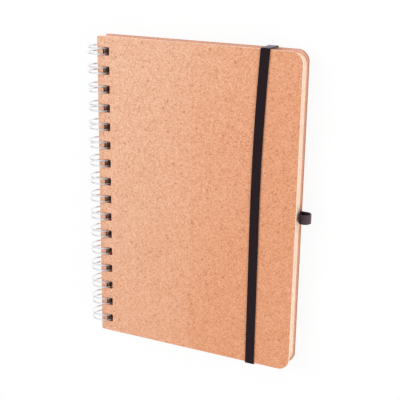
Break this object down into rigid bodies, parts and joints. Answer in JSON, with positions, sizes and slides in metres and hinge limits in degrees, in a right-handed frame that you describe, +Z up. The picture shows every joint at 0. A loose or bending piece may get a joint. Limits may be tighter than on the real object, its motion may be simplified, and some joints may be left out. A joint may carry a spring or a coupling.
{
  "type": "spiral notebook",
  "caption": "Closed wire-bound notebook with cork covers, round fore-edge corners, an elastic closure and an elastic pen loop.",
  "frame": {"origin": "under the middle of the closed notebook's outer box, on the surface that it lies on", "axes": "+Z up through the thickness from the back cover to the front cover, +Y along the spine to the top of the pages, +X from the binding to the fore-edge"},
  "size_m": [0.1606, 0.212, 0.0191],
  "materials": {
    "cork": "matte",
    "cover_board": "matte",
    "paper": "matte",
    "wire": "satin",
    "elastic": "matte"
  },
  "bodies": {
    "pages": {"page_block": "paper"},
    "front_cover": {"front_cover_cork": "cork", "front_cover_board": "cover_board"},
    "back_cover": {"back_cover_board": "cover_board", "back_cover_cork": "cork", "binding_wire": "wire", "elastic_band": "elastic", "elastic_end_top": "elastic", "elastic_end_bottom": "elastic", "pen_loop": "elastic"}
  },
  "joints": [
    {"name": "front_cover_hinge", "type": "hinge", "parent": "pages", "child": "front_cover", "pos_m": [-0.07076, 0, 0.00953], "axis": [0, -1, 0], "range_deg": [0, 180], "deforming": ["elastic_band"]},
    {"name": "back_cover_hinge", "type": "hinge", "parent": "pages", "child": "back_cover", "pos_m": [-0.07076, 0, 0.00953], "axis": [0, 1, 0], "range_deg": [0, 180], "deforming": ["elastic_band"]}
  ]
}
